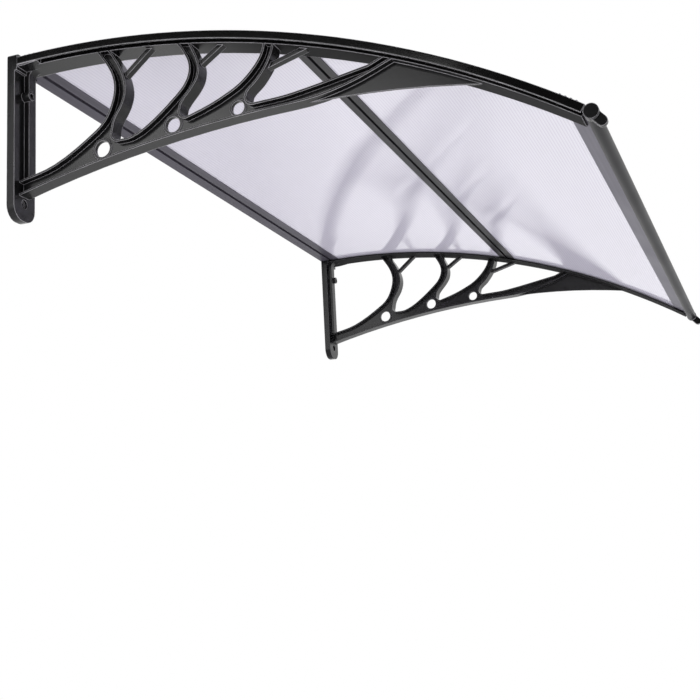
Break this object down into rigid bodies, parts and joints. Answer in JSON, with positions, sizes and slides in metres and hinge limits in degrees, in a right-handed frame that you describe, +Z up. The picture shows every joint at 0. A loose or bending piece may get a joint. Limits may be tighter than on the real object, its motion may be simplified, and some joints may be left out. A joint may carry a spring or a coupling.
{
  "type": "door canopy",
  "caption": "Arched door canopy of clear twin-wall sheets in dark bars, carried by black moulded scroll brackets that fix to the wall above a door.",
  "frame": {"origin": "middle of the rear bar's back face, where that bar lies against the wall", "axes": "+X along the wall, +Y into the wall, +Z up; the roof reaches out along -Y"},
  "size_m": [1.2, 0.8011, 0.2516],
  "materials": {
    "bracket_plastic": "satin black moulded",
    "dark_aluminium": "dark satin powder coat",
    "twin_wall_polycarbonate": "clear, fine flutes across the slope",
    "screw_steel": "bright zinc"
  },
  "bodies": {
    "root": {"bracket_left": "bracket_plastic", "bracket_right": "bracket_plastic", "rear_bar": "dark_aluminium", "centre_bar": "dark_aluminium", "front_bar": "dark_aluminium", "rear_sheet": "twin_wall_polycarbonate", "front_sheet": "twin_wall_polycarbonate", "front_cap_left": "bracket_plastic", "front_cap_right": "bracket_plastic", "centre_screw_left": "screw_steel", "centre_screw_right": "screw_steel"}
  },
  "joints": []
}
